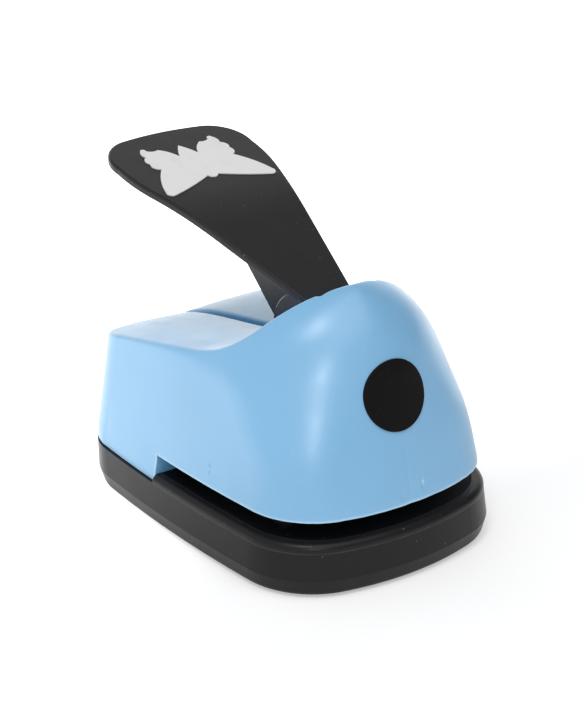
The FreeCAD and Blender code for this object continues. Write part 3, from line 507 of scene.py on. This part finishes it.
# ---------------------------------------------------------------- springs
def make_spring(side, material):
    """A return spring between the guide plate and the carrier: a copy of the CAD spring in spring steel,
    standing in for the CAD part.
    """
    name = f"return_spring_{side}"
    spring = bpy.data.objects.new(f"working_{name}", frame["nodes"][name].data.copy())
    bpy.context.scene.collection.objects.link(spring)
    spring.data.materials.clear()
    spring.data.materials.append(material)
    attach(spring, "root")
    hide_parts(name)
    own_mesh(spring)


# ---------------------------------------------------------------- studio
def aim(thing, target):
    """Turn a light or camera so that it looks at the target."""
    thing.rotation_euler = (Vector(target) - thing.location).to_track_quat("-Z", "Y").to_euler()


def direction(azimuth, elevation):
    """From the object towards a place at this azimuth and elevation, in degrees."""
    a, e = math.radians(azimuth), math.radians(elevation)
    return Vector((math.sin(a) * math.cos(e), -math.cos(a) * math.cos(e), math.sin(e)))


def softbox(name, azimuth, elevation, distance, width, height, brightness):
    """A rectangular light aimed at the object. brightness 1 adds as much as a white sky of 1."""
    data = bpy.data.lights.new(name, "AREA")
    data.shape = "RECTANGLE"
    data.size, data.size_y = width, height
    data.energy = brightness * math.pi**2 * distance**2
    light = bpy.data.objects.new(name, data)
    light.location = middle + direction(azimuth, elevation) * distance
    aim(light, middle)
    bpy.context.scene.collection.objects.link(light)


def make_floor():
    """A white floor that glows more behind the object, where the tent's bright wall lights it."""
    mesh = bpy.data.meshes.new("floor")
    r = FLOOR_REACH
    corners = [(-r, -r, 0), (r, -r, 0), (r, r, 0), (-r, r, 0)]
    mesh.from_pydata(corners, [], [(0, 1, 2, 3)])
    floor = bpy.data.objects.new("floor", mesh)
    bpy.context.scene.collection.objects.link(floor)
    surface = Surface("floor_white", (0.70, 0.70, 0.70), 0.9, specular=0.0)
    surface.set("Emission Color", (1, 1, 1, 1))
    place = surface.node("ShaderNodeTexCoord")
    split = surface.node("ShaderNodeSeparateXYZ")
    glow = surface.node("ShaderNodeMapRange", interpolation_type="SMOOTHSTEP")
    surface.link(place.outputs["Object"], split.inputs["Vector"])
    surface.link(split.outputs["Y"], glow.inputs["Value"])
    glow.inputs["From Min"].default_value = FLOOR_GLOW_FROM
    glow.inputs["From Max"].default_value = FLOOR_GLOW_TO
    glow.inputs["To Min"].default_value = FLOOR_GLOW_FRONT
    glow.inputs["To Max"].default_value = FLOOR_GLOW_BACK
    surface.link(glow.outputs["Result"], surface.shader.inputs["Emission Strength"])
    mottle = surface.noise(60, detail=2.0)
    surface.blend_colour((mottle, (0.68, 0.68, 0.68)))
    mesh.materials.append(surface.material)


def sky_ramp(tree, height, stops):
    """The sky's brightness at each elevation; height runs from straight down (0) to straight up (1)."""
    ramp = tree.nodes.new("ShaderNodeValToRGB")
    tree.links.new(height, ramp.inputs["Fac"])
    while len(ramp.color_ramp.elements) < len(stops):
        ramp.color_ramp.elements.new(0.5)
    for element, (elevation, grey) in zip(ramp.color_ramp.elements, stops):
        element.position = (math.sin(math.radians(elevation)) + 1) / 2
        element.color = (grey, grey, grey, 1)
    return ramp.outputs["Color"]


def make_sky():
    """A white tent: a bright wall behind the object, dimmer in front and overhead."""
    world = bpy.data.worlds.new("tent")
    bpy.context.scene.world = world
    world.use_nodes = True
    tree = world.node_tree
    place = tree.nodes.new("ShaderNodeTexCoord")
    split = tree.nodes.new("ShaderNodeSeparateXYZ")
    height = tree.nodes.new("ShaderNodeMapRange")
    height.inputs["From Min"].default_value = -1
    along = tree.nodes.new("ShaderNodeVectorMath")
    along.operation = "DOT_PRODUCT"
    along.inputs[1].default_value = BACKLIGHT
    behind = tree.nodes.new("ShaderNodeMapRange")
    behind.inputs["From Min"].default_value = BACKLIGHT_EDGE
    behind.inputs["From Max"].default_value = BACKLIGHT_FULL
    side = tree.nodes.new("ShaderNodeMapRange")
    side.inputs["From Min"].default_value = -SKY_SIDE_REACH
    side.inputs["From Max"].default_value = SKY_SIDE_REACH
    side.inputs["To Min"].default_value = SKY_LEFT_GAIN
    side.inputs["To Max"].default_value = SKY_RIGHT_GAIN
    around = tree.nodes.new("ShaderNodeVectorMath")
    around.operation = "SCALE"
    mix = tree.nodes.new("ShaderNodeMix")
    mix.data_type = "RGBA"
    tree.links.new(place.outputs["Generated"], split.inputs["Vector"])
    tree.links.new(split.outputs["Z"], height.inputs["Value"])
    tree.links.new(place.outputs["Generated"], along.inputs[0])
    tree.links.new(along.outputs["Value"], behind.inputs["Value"])
    tree.links.new(behind.outputs["Result"], mix.inputs[0])
    tree.links.new(split.outputs["X"], side.inputs["Value"])
    tree.links.new(sky_ramp(tree, height.outputs["Result"], SKY_AROUND), around.inputs[0])
    tree.links.new(side.outputs["Result"], around.inputs["Scale"])
    tree.links.new(around.outputs["Vector"], mix.inputs[6])
    tree.links.new(sky_ramp(tree, height.outputs["Result"], SKY_BACK), mix.inputs[7])
    tree.links.new(mix.outputs[2], tree.nodes["Background"].inputs["Color"])
    tree.nodes["Background"].inputs["Strength"].default_value = 1.0


def make_camera():
    data = bpy.data.cameras.new("camera")
    data.sensor_fit = "AUTO"
    data.sensor_width = CAMERA_SENSOR
    data.lens = CAMERA_LENS
    camera = bpy.data.objects.new("camera", data)
    camera.location = view_target + direction(CAMERA_AZIMUTH, CAMERA_ELEVATION) * CAMERA_DISTANCE
    aim(camera, view_target)
    bpy.context.scene.collection.objects.link(camera)
    bpy.context.scene.camera = camera


middle = (cad_box[0] + cad_box[1]) / 2
view_target = Vector((2.8, 0.0, 32.1)) * MM

materials = make_materials()
dress_nodes(materials)
make_cover_shell(materials["cover_plastic"])
for side in ("left", "right"):
    make_spring(side, materials["spring_steel"])
make_floor()
make_sky()
for box in SOFTBOXES:
    softbox(*box)
make_camera()
bpy.context.scene.view_settings.view_transform = "Standard"
